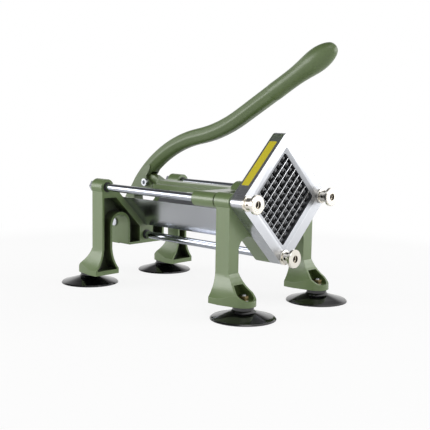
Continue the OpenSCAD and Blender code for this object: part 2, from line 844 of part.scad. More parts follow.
module handle() {
    color("olivedrab") translate([0, pivot_y, pivot_z]) {
        difference() {
            union() {
                sideways(fork_w) polygon(rounded([for (p = fork_shares) [p.x, p.y, corner_share] * fork_size]));
                arm_arc(bend_centre, arm_bend_r, 180 - slope_fork, slope_fork - slope_low);
            }
            fork_slot();
            rotate([0, 90, 0]) cylinder(h = fork_w + 2 * over, r = bolt_d / 2 + fit_gap, center = true);
        }
        difference() {
            sideways(2 * foot_half) {
                polygon(rounded([for (p = strut_shares) [p.x, p.y, corner_share] * pivot_over_pin]));
                slot_shape(foot_r);
            }
            sideways(2 * foot_half + 2 * over) slot_shape(slot_half);
        }
        arm_arc(lift_centre, arm_lift_r, -slope_grip, slope_grip - slope_low);
        on_slope(straight_from, slope_grip) linear_extrude(straight_len) arm_section();
        on_slope(grip_from, slope_grip) grip();
        arm_core(lift_from, slope_low);
        arm_core(straight_from, slope_grip);
        arm_core(grip_from, slope_grip);
    }
}

module handle_bolt() {
    head_x = -fork_w / 2 - bolt_head_h;
    tail_x = fork_w / 2 + bolt_washer_t + bolt_nut_t + bolt_past;
    color("silver") translate([0, pivot_y, pivot_z]) rotate([0, 90, 0]) difference() {
        union() {
            translate([0, 0, head_x]) cylinder(h = tail_x - head_x, r = bolt_d / 2);
            translate([0, 0, head_x]) cylinder(h = bolt_head_h, r = bolt_head_d / 2);
        }
        translate([0, 0, head_x - over])
            cylinder(h = bolt_socket_deep + over, r = bolt_socket_w / sqrt(3), $fn = 6);
    }
}

module handle_nut() {
    color("silver") translate([fork_w / 2 + bolt_washer_t, pivot_y, pivot_z]) rotate([0, 90, 0]) difference() {
        cylinder(h = bolt_nut_t, r = bolt_nut_w / sqrt(3), $fn = 6);
        translate([0, 0, -over]) cylinder(h = bolt_nut_t + 2 * over, r = bolt_d / 2 + fit_gap);
    }
}

module handle_washer() {
    color("silver") translate([fork_w / 2, pivot_y, pivot_z]) rotate([0, 90, 0]) difference() {
        cylinder(h = bolt_washer_t, r = bolt_washer_d / 2);
        translate([0, 0, -over]) cylinder(h = bolt_washer_t + 2 * over, r = bolt_d / 2 + fit_gap);
    }
}

module foot_pin() {
    color("silver") translate([-block_half, pin_y, pin_z]) rotate([0, 90, 0]) {
        translate([0, 0, -pin_head_t]) cylinder(h = pin_head_t, r = pin_head_d / 2);
        translate([0, 0, -over]) cylinder(h = 2 * block_half + pin_past + over, r = pin_d / 2);
    }
}

module pin_spacers() {
    inner = foot_half + pass_gap;
    length = block_half - cheek_t - inner;
    color("silver") for (side = [0, 1]) mirror([side, 0, 0])
        translate([inner, pin_y, pin_z]) rotate([0, 90, 0]) difference() {
            cylinder(h = length, r = pin_d / 2 + spacer_wall);
            translate([0, 0, -over]) cylinder(h = length + 2 * over, r = pin_d / 2 + fit_gap);
        }
}

module pin_clips() {
    color("silver") translate([block_half, pin_y, pin_z]) rotate([0, 90, 0]) difference() {
        cylinder(h = clip_t, r = clip_d / 2);
        translate([0, 0, -over]) cylinder(h = clip_t + 2 * over, r = pin_d / 2 + fit_gap);
    }
}

// Slots for the blade strips, cut from the front plate's rear face
module blade_slots(angle, front) {
    length = window + 2 * blade_grip + 2 * slot_gap;
    depth = face_y + front_plate_t - front + over;
    for (i = [1 : cell_count - 1])
        translate([0, front, head_height]) rotate([0, angle, 0])
            translate([-length / 2, 0, (i - cell_count / 2) * pitch - blade_t / 2 - slot_gap])
                cube([length, depth, blade_t + 2 * slot_gap]);
}

// The bevel round the window's front edge, as two crossed wedges
module window_bevel() {
    half = window / 2;
    wide = half + bevel_w;
    intersection_for (a = [45, -45])
        translate([0, face_y, head_height]) rotate([0, a, 0]) linear_extrude(2 * wide + 2 * over, center = true)
            polygon([[-wide - over * bevel_w / bevel_d, -over], [wide + over * bevel_w / bevel_d, -over],
                [half, bevel_d], [-half, bevel_d]]);
}

// Places the children at the screws that hold the two plates together
module at_frame_screws() {
    for (a = [45 : 90 : 315])
        translate([0, 0, head_height]) rotate([0, a, 0]) translate([window / 2 + frame_screw_out, 0, 0]) children();
}

module blade_frame_front() {
    tip_y = face_y + casting_rel - frame_screw_len;
    color("gainsboro") difference() {
        diamond(frame_side, frame_corner_r, face_y, front_plate_t);
        diamond(window, window_corner_r, face_y - over, front_plate_t + 2 * over);
        window_bevel();
        blade_slots(-45, face_y + blade_back);
        blade_slots(45, face_y + front_plate_t - blade_depth - slot_gap);
        at_rods() along(0, face_y - over, 0, front_plate_t + 2 * over, stud_d / 2 + pass_gap);
        at_frame_screws() along(0, tip_y - slot_gap, 0, frame_screw_len, frame_screw_d / 2 + fit_gap);
    }
}

module blade_frame_back() {
    y0 = face_y + front_plate_t;
    y1 = y0 + back_plate_t;
    color("gainsboro") difference() {
        diamond(frame_side, frame_corner_r, y0, back_plate_t);
        on_corner(window, y0 - over, back_plate_t + 2 * over);
        at_rods() along(0, y0 - over, 0, back_plate_t + 2 * over, stud_d / 2 + pass_gap);
        at_frame_screws() {
            along(0, y0 - over, 0, back_plate_t + 2 * over, frame_screw_d / 2 + pass_gap);
            along(0, y1 - frame_screw_head_h, 0, frame_screw_head_h + over,
                frame_screw_head_d / 2 + pass_gap);
        }
    }
}

// Places one strip's children at each blade of a layer, along X before the turn
module at_blades(angle) {
    for (i = [1 : cell_count - 1])
        translate([0, 0, head_height]) rotate([0, angle, 0]) translate([0, 0, (i - cell_count / 2) * pitch]) children();
}

module blades_rising() {
    length = window + 2 * blade_grip;
    y0 = face_y + blade_back + slot_gap;
    y1 = face_y + front_plate_t;
    tab = blade_grip - 2 * slot_gap;
    color("white") at_blades(-45) translate([0, 0, -blade_t / 2]) linear_extrude(blade_t)
        polygon([[-length / 2, y0], [length / 2, y0], [length / 2, y1], [length / 2 - tab, y1],
            [length / 2 - tab, y0 + blade_depth], [tab - length / 2, y0 + blade_depth], [tab - length / 2, y1],
            [-length / 2, y1]]);
}

module blades_falling() {
    length = window + 2 * blade_grip;
    color("white") at_blades(45)
        translate([-length / 2, face_y + front_plate_t - blade_depth, -blade_t / 2])
            cube([length, blade_depth, blade_t]);
}

module blade_frame_screws() {
    y1 = face_y + casting_rel;
    color("silver") at_frame_screws() {
        along(0, y1 - frame_screw_len, 0, frame_screw_len, frame_screw_d / 2);
        along(0, y1 - frame_screw_head_h, 0, frame_screw_head_h, frame_screw_head_d / 2);
    }
}

// A thumb nut on the stud at x and z, with its head towards the front
module thumb_nut(x, z) {
    bore = stud_d / 2 + run_gap;
    head = nut_head_d / 2;
    neck = nut_neck_d / 2;
    head_from = nut_len - nut_head_t;
    color("silver") translate([x, face_y - stop_gap, z]) rotate([90, 0, 0]) difference() {
        rotate_extrude() polygon([[bore, 0], [nut_base_d / 2, 0], [nut_base_d / 2, nut_base_t],
            [neck, nut_base_t + nut_edge], [neck, head_from - nut_cone], [head - nut_edge, head_from],
            [head, head_from + nut_edge], [head, nut_len - nut_edge], [head - nut_edge, nut_len],
            [nut_hole_d / 2, nut_len], [nut_hole_d / 2, nut_len - nut_hole_deep], [bore, nut_len - nut_hole_deep]]);
        translate([0, 0, (nut_base_t + nut_edge + head_from - nut_cone) / 2]) rotate([0, 90, 0])
            cylinder(h = nut_head_d, r = cross_hole_d / 2, center = true);
    }
}

module thumb_nut_left() {
    thumb_nut(-rod_place, head_height);
}

module thumb_nut_right() {
    thumb_nut(rod_place, head_height);
}

module thumb_nut_bottom() {
    thumb_nut(0, head_height - rod_place);
}

module suction_cup(x, y) {
    rim = cup_d / 2;
    stud = cup_stud_d / 2;
    color([0.08, 0.08, 0.09]) translate([x, y, 0]) rotate_extrude() polygon([[stud, cup_h], [neck_d / 2, cup_h],
        [neck_d / 2, neck_low + neck_fillet], [neck_d / 2 + neck_fillet, neck_low], [cone_r, cone_h],
        [rim - lip_w, flange_t + cup_edge_t], [rim, cup_edge_t], [rim, 0], [rim - lip_w, 0],
        [cone_r, cone_h - flange_t], [neck_d / 2, hollow_h], [0, hollow_h], [0, stud_head_z],
        [stud_head_d / 2, stud_head_z], [stud_head_d / 2, stud_head_z + stud_head_h],
        [stud, stud_head_z + stud_head_h]]);
}

module suction_cup_front_left() {
    suction_cup(-rod_place, front_foot_y);
}

module suction_cup_front_right() {
    suction_cup(rod_place, front_foot_y);
}

module suction_cup_rear_left() {
    suction_cup(-rod_place, rear_foot_y);
}

module suction_cup_rear_right() {
    suction_cup(rod_place, rear_foot_y);
}

// Places the children on the axis of each suction cup, at height z
module at_cups(z) {
    for (x = [-rod_place, rod_place], y = [front_foot_y, rear_foot_y])
        translate([x, y, z]) children();
}

module cup_studs() {
    top = base_top + cup_washer_t + cup_nut_t + bolt_past;
    color("silver") at_cups(stud_head_z) {
        cylinder(h = top - stud_head_z, r = cup_stud_d / 2);
        cylinder(h = stud_head_h, r = stud_head_d / 2);
    }
}

module cup_nuts() {
    color("goldenrod") at_cups(base_top + cup_washer_t) difference() {
        cylinder(h = cup_nut_t, r = cup_nut_w / sqrt(3), $fn = 6);
        translate([0, 0, -over]) cylinder(h = cup_nut_t + 2 * over, r = cup_stud_d / 2 + fit_gap);
    }
}

module cup_washers() {
    color("silver") at_cups(base_top) difference() {
        cylinder(h = cup_washer_t, r = cup_washer_w / 2);
        translate([0, 0, -over]) cylinder(h = cup_washer_t + 2 * over, r = cup_stud_d / 2 + fit_gap);
    }
}

front_frame();
rear_frame();
guide_rod_left();
guide_rod_right();
lower_rod();
rod_nuts();
rod_washers();
rod_ring_left();
rod_ring_right();
rod_ring_lower();
trough();
carriage();
bush_front_left();
bush_front_right();
bush_rear_left();
bush_rear_right();
pusher_block();
pusher_screws();
handle();
handle_bolt();
handle_nut();
handle_washer();
foot_pin();
pin_spacers();
pin_clips();
blade_frame_front();
blade_frame_back();
blades_rising();
blades_falling();
blade_frame_screws();
thumb_nut_left();
thumb_nut_right();
thumb_nut_bottom();
suction_cup_front_left();
suction_cup_front_right();
suction_cup_rear_left();
suction_cup_rear_right();
cup_studs();
cup_nuts();
cup_washers();
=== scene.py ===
"""A lever press that cuts a potato into sticks, dressed with finishes and fine detail over its CAD frame."""

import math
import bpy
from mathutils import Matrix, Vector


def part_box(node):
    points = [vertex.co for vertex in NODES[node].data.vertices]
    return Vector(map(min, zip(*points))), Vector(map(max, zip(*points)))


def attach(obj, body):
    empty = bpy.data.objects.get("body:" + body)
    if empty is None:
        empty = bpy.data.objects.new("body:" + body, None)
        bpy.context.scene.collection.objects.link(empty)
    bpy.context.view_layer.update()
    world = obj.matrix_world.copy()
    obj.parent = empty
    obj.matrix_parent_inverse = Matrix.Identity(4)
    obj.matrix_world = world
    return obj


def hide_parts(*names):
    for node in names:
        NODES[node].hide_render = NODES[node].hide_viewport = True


bl_info = {
    "name": "French Fry Cutter",
    "version": (1, 0, 0),
    "blender": (4, 5, 0),
    "location": "View3D > Sidebar > Fry Cutter",
    "description": "Dresses the lever press: painted castings, plated rods, ground blades, rubber feet",
    "category": "Object",
}

import bmesh
import bpy
from bpy.props import FloatProperty, FloatVectorProperty, IntProperty, PointerProperty
from mathutils import Matrix, Vector

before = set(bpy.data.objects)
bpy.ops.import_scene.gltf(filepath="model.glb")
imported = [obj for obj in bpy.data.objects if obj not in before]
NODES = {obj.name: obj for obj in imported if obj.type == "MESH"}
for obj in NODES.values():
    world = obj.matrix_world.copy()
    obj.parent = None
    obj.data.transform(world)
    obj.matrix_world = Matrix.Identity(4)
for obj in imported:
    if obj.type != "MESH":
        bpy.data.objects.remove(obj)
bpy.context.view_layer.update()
MM = 0.001

# Joining the CAD meshes: distances in millimetres and angles in degrees
FLAT_MERGE, FLAT_ANGLE = 0.004, 0.2
LEVER_WELD, LEVER_SHARP = 0.0005, 35
EDGE_SEGMENTS, EDGE_FROM = 2, 32

# Painted shade: the lever's paint is the castings' paint times this share of light
LEVER_SHADE = 0.78

# Millimetres: a thread's middle line from its rod's axis, the distance at which a finger's corners are
# joined, and how deep the fingers stand in their plate
THREAD_LINE = 3.85
FINGER_WELD = 0.001
FINGER_SINK = 0.5
# How far in front of the plate a corner counts as a finger's
CUT_GAP = 0.05

# How much of a normal points forward on the front plate's flat face, at least, and on its flanks, at most
FACE_FORWARD, FLANK_FORWARD = 0.985, 0.15
# The outer rim starts at this share of the plate's height from the middle, counted across plus up
RIM_FROM = 0.41

# The front plate's corner radius in millimetres
FRAME_CORNER = 7.5

# The strip in millimetres: its middle from the plate's front and along its edge, its thickness and its
# corners' radius, and the steps round each corner
STRIP_BACK, STRIP_ALONG = 9.9, 4.9
STRIP_THICK, STRIP_CORNER = 0.15, 0.8
STRIP_STEPS = 3

# The camera, fitted to the photograph: turns in radians, lens and image in pixels, place in metres
YAW, PITCH, ROLL = 0.812, 0.126, 0.016
LENS_PIXELS, IMAGE = 864.2, 430
CAMERA_PLACE = (-0.7949, -0.7665, 0.2416)

# Each lamp's name, the stage's power for it, its two sides and its place, in metres
LAMPS = (
    ("key_lamp", "key", (1.5, 1.5), (-0.9, -1.1, 1.7)),
    ("side_lamp", "side", (1.0, 0.8), (-1.35, 1.15, 0.42)),
    ("front_lamp", "front", (1.6, 1.3), (1.25, -1.3, 0.37)),
)
# The point that all lamps face
LAMP_AIM = (0, 0, 0.12)

# Dark parts of the studio: the way to the middle of each, and the cosines at which it starts and is full
DARK_PARTS = (
    ((0, 0.45, 0.9), 0.62, 0.9),
    ((0.65, 0.6, 0.46), 0.9, 0.98),
    ((-0.7, -0.7, 0.1), 0.8, 0.95),
)
# They fade in over these heights of the way, above the white paper
DARK_ABOVE = (0.3, 0.5)

# Where the floor starts to fade to white, as a share of the shadow's reach
FADE_FROM = 0.15
# How white the eye sees the floor at least
EYE_WHITE = 0.82


def linear(code):
    """An sRGB hex colour as linear RGBA, which Blender's colour sockets take."""
    parts = [int(code[i : i + 2], 16) / 255 for i in (1, 3, 5)]
    return [c / 12.92 if c <= 0.04045 else ((c + 0.055) / 1.055) ** 2.4 for c in parts] + [1.0]


def colour(name, description, code):
    """A colour that the user can change, given as sRGB hex."""
    return FloatVectorProperty(
        name=name, description=description, subtype="COLOR", size=4, min=0, max=1, default=linear(code)
    )


def length(name, description, mm):
    """A length that the user can change, given in millimetres and kept in metres."""
    return FloatProperty(
        name=name, description=description, default=mm * MM, min=0, unit="LENGTH", precision=5
    )


def strength(name, description, value):
    """A light's strength that the user can change."""
    return FloatProperty(name=name, description=description, default=value, min=0)


class FryCutterColours(bpy.types.PropertyGroup):
    """Colours of the finishes."""

    paint: colour("Paint", "Green stoved paint of the castings and the lever", "#5b6e3f")
    paint_light: colour("Paint, lighter", "The same paint where its skin lies thicker", "#637748")
    # Painted shade: the colour that stands for the shade deep in the rear casting's hollows
    paint_deep_shade: colour("Paint, in hollows", "Paint of the rear casting's hollows, dark with oil", "#262c1b")
    # Painted shade: the colour that stands for the shade in the open pockets of the other castings
    paint_pocket_shade: colour("Paint, in pockets", "The paint in the open pockets of the other castings", "#566739")
    chrome: colour("Chrome", "Plating of the three rods", "#afb3bc")
    bare_end: colour("Rod ends", "Bare steel of the rods' ends, dark with oil", "#2a221c")
    sheet: colour("Trough sheet", "Brushed stainless steel of the trough", "#c4c6cc")
    aluminium: colour("Blade frame", "Satin cast aluminium of the blade frame", "#b4b6ba")
    flank: colour("Blade frame, flanks", "Brushed flanks of the plates, paler than the face", "#c9cbd0")
    # Painted shade: the rim's dark grey stands for the shade on the plate's rounded outer edge
    rim: colour("Plate rim", "Rolled rim of the front plate, which the belt missed", "#5f6165")
    # Painted shade: the window bevel's grey stands for the shade on its leaning faces
    bevel: colour("Window bevel", "Milled bevel round the window, duller than the face", "#94969a")
    nickel: colour("Thumb nuts", "Nickel plating of the thumb nuts", "#efeae0")
    blade: colour("Blades", "Ground stainless steel of the blade strips", "#f0f2f5")
    pusher: colour("Pusher", "Dark coat of the pusher and its fingers", "#0c0d0f")
    # Painted reflection: the tips' grey stands for the bright surround that they reflect
    pusher_tip: colour("Finger tips", "The same coat on the fingers' tips, rubbed greyer in use", "#30343a")
    rubber: colour("Rubber", "Black rubber of the suction cups", "#060607")
    nylon: colour("Nylon", "Black moulded nylon of bushes and rings", "#141414")
    zinc: colour("Zinc", "Bright zinc plating of screws, nuts and pins", "#b9bcc2")
    # Partly painted shade: the plating's colour is darkened for nuts that sit in the feet's pockets
    brass: colour("Yellow nuts", "Yellow passivated plating of the cups' nuts", "#7d6f4c")
    strip: colour("Strip", "Plain yellow vinyl strip on the blade frame", "#cdbf2a")


class FryCutterSizes(bpy.types.PropertyGroup):
    """Sizes of the detail that is added to the CAD frame."""

    casting_edge: length("Casting edge", "Radius of the castings' outer edges", 1.8)
    frame_edge: length("Blade frame edge", "Radius of the blade frame's edges", 1.1)
    finger_width: length("Finger width", "Width of one square pusher finger", 7.2)
    finger_length: length("Finger length", "Length of one pusher finger", 17.5)
    finger_chamfer: length("Finger chamfer", "Chamfer round a finger's tip", 1.9)
    finger_pitch: length("Finger pitch", "Distance from one finger to the next", 9.9)
    finger_rows: IntProperty(name="Finger rows", description="Rows of fingers each way", default=8, min=2)
    strip_length: length("Strip length", "Length of the yellow strip", 69)
    strip_width: length("Strip width", "Width of the yellow strip", 10.8)
    thread_pitch: length("Thread pitch", "Distance between two turns of the studs' threads", 1.25)
    thread_height: length("Thread height", "How far a thread's crest stands out", 0.25)


class FryCutterStage(bpy.types.PropertyGroup):
    """The plain studio round the press."""

    floor: colour("Floor", "Colour of the floor", "#ffffff")
    floor_size: length("Floor size", "Length of the floor's sides", 12000)
    shadow_reach: length("Shadow reach", "Distance from the press past which the floor is plain white", 700)
    world: strength("Surround", "Strength of the plain light from all round", 0.55)
    screen: strength("Dark screen", "Strength of the screen that gloss sees", 0.12)
    key: strength("Key light", "Power of the large lamp above and in front", 8)
    side: strength("Side light", "Power of the lamp low at the left and behind", 12)
    front: strength("Front light", "Power of the lamp low at the right and in front", 19)


def add(tree, kind, values=None, **settings):
    """Adds a node: settings are its properties, and values are its sockets' values or what feeds them."""
    made = tree.nodes.new(kind)
    for name, value in settings.items():
        setattr(made, name, value)
    for key, value in (values or {}).items():
        if isinstance(value, bpy.types.NodeSocket):
            tree.links.new(value, made.inputs[key])
        else:
            made.inputs[key].default_value = value
    return made


def finish(name, values):
    """A new material with one shader that has these values. Returns the material, its tree and the shader."""
    made = bpy.data.materials.new(name)
    made.use_nodes = True
    tree = made.node_tree
    tree.nodes.clear()
    shader = add(tree, "ShaderNodeBsdfPrincipled", values)
    add(tree, "ShaderNodeOutputMaterial", {"Surface": shader.outputs["BSDF"]})
    return made, tree, shader


def object_place(tree, scale=(1, 1, 1)):
    """The point of the surface in the object's own metres, scaled."""
    place = add(tree, "ShaderNodeTexCoord")
    moved = add(
        tree,
        "ShaderNodeMapping",
        {"Vector": place.outputs["Object"], "Scale": scale},
        vector_type="POINT",
    )
    return moved.outputs["Vector"]


def noise(tree, place, scale, detail=2.0, roughness=0.5):
    """A noise from 0 to 1 at a place."""
    values = {"Vector": place, "Scale": scale, "Detail": detail, "Roughness": roughness}
    return add(tree, "ShaderNodeTexNoise", values).outputs["Fac"]


def worked(tree, operation, first, second):
    """The result of one sum with two values."""
    return add(tree, "ShaderNodeMath", {0: first, 1: second}, operation=operation).outputs["Value"]


def blended(tree, share, first, second):
    """A colour between two."""
    values = {"Factor": share, "A": first, "B": second}
    return add(tree, "ShaderNodeMix", values, data_type="RGBA").outputs["Result"]


def laid_out(tree, value, low, high):
    """A value from 0 to 1, laid out from low to high."""
    values = {"Value": value, "To Min": low, "To Max": high}
    return add(tree, "ShaderNodeMapRange", values).outputs["Result"]


def eased(tree, value, start, end):
    """0 up to start, 1 past end, and a soft step between them."""
    values = {"Value": value, "From Min": start, "From Max": end}
    return add(tree, "ShaderNodeMapRange", values, interpolation_type="SMOOTHSTEP").outputs["Result"]


def raised(tree, shader, height, strength_share, depth):
    """Gives a shader's surface a relief of this depth, in metres."""
    values = {"Height": height, "Strength": strength_share, "Distance": depth}
    relief = add(tree, "ShaderNodeBump", values)
    tree.links.new(relief.outputs["Normal"], shader.inputs["Normal"])


def stoved_paint(name, tones, shade_tone, coat):
    """Stoved gloss paint on cast iron: a soft rippled skin whose tone drifts, with painted shade in the
    hollows.
    """
    values = {"Specular IOR Level": 0.5, "Coat Weight": coat, "Coat Roughness": 0.22}
    made, tree, shader = finish(name, values)
    place = object_place(tree)
    # Tone drifts over about 30 mm
    tone = blended(tree, noise(tree, place, 1 / (30 * MM), 3.0), *tones)
    # Painted shade: where ambient occlusion finds a hollow, the colour turns towards the shade tone
    openness = add(tree, "ShaderNodeAmbientOcclusion", {"Distance": 28 * MM}, samples=12).outputs["AO"]
    painted_shade = blended(tree, eased(tree, openness, 0.25, 0.8), shade_tone, tone)
    tree.links.new(painted_shade, shader.inputs["Base Color"])
    # The ripples of the paint's skin are about 5 mm across and very shallow
    skin = noise(tree, place, 1 / (5 * MM), 3.0, 0.4)
    raised(tree, shader, skin, 0.1, 0.05 * MM)
    tree.links.new(laid_out(tree, skin, 0.34, 0.46), shader.inputs["Roughness"])
    return made


def streaked_metal(name, tone, roughness, across, along, axis, depth, spread=0.12):
    """Bare metal with fine streaks along one axis, across wide and along long, both in millimetres."""
    made, tree, shader = finish(name, {"Base Color": tone, "Metallic": 1.0})
    scale = [1 / (across * MM)] * 3
    scale["XYZ".index(axis)] = 1 / (along * MM)
    streaks = noise(tree, object_place(tree, scale), 1.0, 3.0, 0.6)
    rough = laid_out(tree, streaks, roughness - spread, roughness + spread)
    tree.links.new(rough, shader.inputs["Roughness"])
    raised(tree, shader, streaks, 0.3, depth * MM)
    return made


def plated_rod(name, colours, ends_at):
    """Hard chrome on a ground rod. Its ends in front of ends_at are bare steel, dark with oil."""
    made, tree, shader = finish(name, {"Metallic": 1.0})
    scale = (1 / (1.2 * MM), 1 / (60 * MM), 1 / (1.2 * MM))
    streaks = noise(tree, object_place(tree, scale), 1.0)
    tree.links.new(laid_out(tree, streaks, 0.06, 0.2), shader.inputs["Roughness"])
    along = add(tree, "ShaderNodeSeparateXYZ", {"Vector": object_place(tree)}).outputs["Y"]
    bare = worked(tree, "LESS_THAN", along, ends_at)
    tree.links.new(blended(tree, bare, colours.chrome, colours.bare_end), shader.inputs["Base Color"])
    return made


def mottled(name, values, tones, size, roughness, grain, depth):
    """A surface whose tone drifts between two colours over size and whose grain gives roughness and bump.

    Size, grain and depth are in millimetres.
    """
    made, tree, shader = finish(name, values)
    place = object_place(tree)
    tone = blended(tree, noise(tree, place, 1 / (size * MM)), *tones)
    tree.links.new(tone, shader.inputs["Base Color"])
    fine = noise(tree, place, 1 / (grain * MM), 3.0)
    tree.links.new(laid_out(tree, fine, *roughness), shader.inputs["Roughness"])
    raised(tree, shader, fine, 0.3, depth * MM)
    return made


def toned(tone, share):
    """The same colour with its light times a share: darker under 1, lighter over it."""
    return [c * share for c in tone[:3]] + [1.0]


def finishes(colours):
    """All the materials, by the name of the surface they make."""
    paints = (colours.paint, colours.paint_light)
    shaded_lever_paints = [toned(paint, LEVER_SHADE) for paint in paints]
    return {
        # Green stoved paint: smooth soft gloss on the open faces, with a little painted shade in the pockets
        "paint": stoved_paint("stoved_green_paint", paints, shade_tone=colours.paint_pocket_shade, coat=0.7),
        # A deeper green on the lever, which is painted shade, with painted shade in its hollows: the thin
        # clear coat leaves a fainter gloss
        "paint_lever": stoved_paint(
            "hand_worn_green_paint", shaded_lever_paints, shade_tone=toned(colours.paint_deep_shade, 1.6), coat=0.2
        ),
        # The same paint on the rear casting, with nearly black painted shade in its deep hollows
        "paint_hollow": stoved_paint(
            "stoved_green_paint_over_hollows", paints, shade_tone=colours.paint_deep_shade, coat=0.4
        ),
        # Hard chrome, ground and plated: mirror bright with faint drawn lines, dark at the front ends
        "chrome": plated_rod("hard_chrome_plate", colours, ends_at=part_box("thumb_nut_left")[1].y),
        # Stainless sheet, brushed along its length: light spreads into broad soft bands
        "sheet": streaked_metal(
            "brushed_stainless_sheet", colours.sheet,
            roughness=0.2, across=0.8, along=45, axis="Y", depth=0.008, spread=0.07
        ),
        # Cast aluminium, ground on a belt: pale and satin, with fine upright streaks
        "aluminium": streaked_metal(
            "belt_ground_aluminium", colours.aluminium,
            roughness=0.34, across=0.7, along=18, axis="Z", depth=0.015
        ),
        # Stainless strip, ground flat: bright with hardly any texture
        "blade": streaked_metal(
            "ground_blade_steel", colours.blade,
            roughness=0.24, across=0.5, along=8, axis="Y", depth=0.005
        ),
        # Nickel over turned brass: warm mirror gloss
        "nickel": mottled(
            "nickel_plate", {"Metallic": 1.0}, (colours.nickel, toned(colours.nickel, 0.92)),
            size=12, roughness=(0.12, 0.22), grain=0.8, depth=0.004
        ),
        # Milled aluminium: the window's bevel, duller than the face and greyer with painted shade
        "bevel": streaked_metal(
            "milled_aluminium_bevel", colours.bevel,
            roughness=0.4, across=0.9, along=6, axis="Z", depth=0.01
        ),
        # Flanks of the plates, brushed by hand: pale, with streaks along the edge
        "flank": streaked_metal(
            "brushed_aluminium_flank", colours.flank,
            roughness=0.3, across=0.6, along=20, axis="Y", depth=0.003
        ),
        # The plate's rounded outer rim: dark with painted shade, and duller than the face
        "rim": streaked_metal(
            "unground_aluminium_rim", colours.rim,
            roughness=0.36, across=0.6, along=4, axis="Y", depth=0.01
        ),
        # Dark coat on the fingers' tips in a grey satin, whose grey is a painted reflection
        "pusher_tip": mottled(
            "rubbed_black_coat", {"Specular IOR Level": 0.6},
            (colours.pusher_tip, toned(colours.pusher_tip, 0.6)),
            size=4, roughness=(0.3, 0.45), grain=0.6, depth=0.01
        ),
        # Dark coated casting: dull black with a grey bloom
        "pusher": mottled(
            "black_coated_casting", {"Specular IOR Level": 0.5},
            (colours.pusher, toned(colours.pusher, 1.5)),
            size=6, roughness=(0.32, 0.5), grain=0.6, depth=0.02
        ),
        # Moulded rubber: black and glossy, with clear highlights
        "rubber": mottled(
            "black_rubber", {"Specular IOR Level": 0.5, "IOR": 1.75},
            (colours.rubber, toned(colours.rubber, 1.5)),
            size=25, roughness=(0.05, 0.13), grain=1.5, depth=0.002
        ),
        # Moulded nylon: black, dull and even
        "nylon": mottled(
            "black_nylon", {"Specular IOR Level": 0.45}, (colours.nylon, toned(colours.nylon, 1.3)),
            size=10, roughness=(0.4, 0.55), grain=0.7, depth=0.01
        ),
        # Zinc plate: bright and slightly cloudy
        "zinc": mottled(
            "bright_zinc_plate", {"Metallic": 1.0}, (colours.zinc, toned(colours.zinc, 0.85)),
            size=5, roughness=(0.2, 0.34), grain=0.5, depth=0.006
        ),
        # Yellow passivated zinc: brassy, cloudy and soft, and darkened with painted shade
        "brass": mottled(
            "yellow_passivated_zinc", {"Metallic": 1.0}, (colours.brass, toned(colours.brass, 0.8)),
            size=4, roughness=(0.24, 0.38), grain=0.5, depth=0.006
        ),
        # Vinyl film: flat, slightly glossy yellow
        "strip": mottled(
            "yellow_vinyl_film", {"Specular IOR Level": 0.5},
            (colours.strip, toned(colours.strip, 0.93)),
            size=15, roughness=(0.3, 0.38), grain=0.9, depth=0.01
        ),
    }


def surface(name):
    """The material made for a surface."""
    return bpy.data.materials[SURFACES[name]]


SURFACES = {}


def dress(names, finish_name):
    """Gives CAD nodes a finish in their own material slots."""
    for name in names:
        mesh = NODES[name].data
        for i in range(max(1, len(mesh.materials))):
            if i < len(mesh.materials):
                mesh.materials[i] = surface(finish_name)
            else:
                mesh.materials.append(surface(finish_name))


def show(name, mesh, finish_name=None):
    """A new object with this mesh, in the scene, at the origin."""
    piece = bpy.data.objects.new(name, mesh)
    bpy.context.scene.collection.objects.link(piece)
    if finish_name:
        mesh.materials.clear()
        mesh.materials.append(surface(finish_name))
    return piece


def flattened(piece):
    """Applies a piece's modifiers, so that it is a plain mesh."""
    graph = bpy.context.evaluated_depsgraph_get()
    mesh = bpy.data.meshes.new_from_object(piece.evaluated_get(graph))
    mesh.name = piece.name
    piece.modifiers.clear()
    piece.data = mesh
    return piece


def merged_copy(name):
    """A CAD node's mesh with its loose triangles joined into flat faces."""
    form = bmesh.new()
    form.from_mesh(NODES[name].data)
    bmesh.ops.remove_doubles(form, verts=form.verts, dist=FLAT_MERGE * MM)
    bmesh.ops.dissolve_limit(form, angle_limit=math.radians(FLAT_ANGLE), verts=form.verts, edges=form.edges)
    return form


def welded_copy(name):
    """A CAD node's mesh with its triangles joined where they meet. A few open edges are left."""
    form = bmesh.new()
    form.from_mesh(NODES[name].data)
    bmesh.ops.remove_doubles(form, verts=form.verts, dist=LEVER_WELD * MM)
    for face in form.faces:
        face.smooth = True
    return form


def as_mesh(form, name):
    """The form as a plain mesh, without the corner normals that a CAD node's copy brings along."""
    mesh = bpy.data.meshes.new(name)
    form.to_mesh(mesh)
    form.free()
    if "custom_normal" in mesh.attributes:
        mesh.attributes.remove(mesh.attributes["custom_normal"])
    return mesh


def softened(name, radius, finish_name, body):
    """A copy of a CAD node with rounded edges, which stands for the node."""
    mesh = as_mesh(merged_copy(name), name + "_soft")
    mesh.shade_smooth()
    piece = show(name + "_soft", mesh, finish_name)
    edges = piece.modifiers.new("Edge radius", "BEVEL")
    edges.width = radius
    edges.segments = EDGE_SEGMENTS
    edges.limit_method = "ANGLE"
    edges.angle_limit = math.radians(EDGE_FROM)
    edges.harden_normals = True
    edges.use_clamp_overlap = True
    flattened(piece)
    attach(piece, body)
    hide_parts(name)
    return piece


def refaced(piece, finish_name, wanted):
    """Gives the faces that are wanted a second finish."""
    piece.data.materials.append(surface(finish_name))
    last = len(piece.data.materials) - 1
    for face in piece.data.polygons:
        if wanted(face):
            face.material_index = last


def group_input(tree, name, kind="NodeSocketFloat"):
    """Adds a named input to a geometry tree and returns its identifier."""
    return tree.interface.new_socket(name, in_out="INPUT", socket_type=kind).identifier


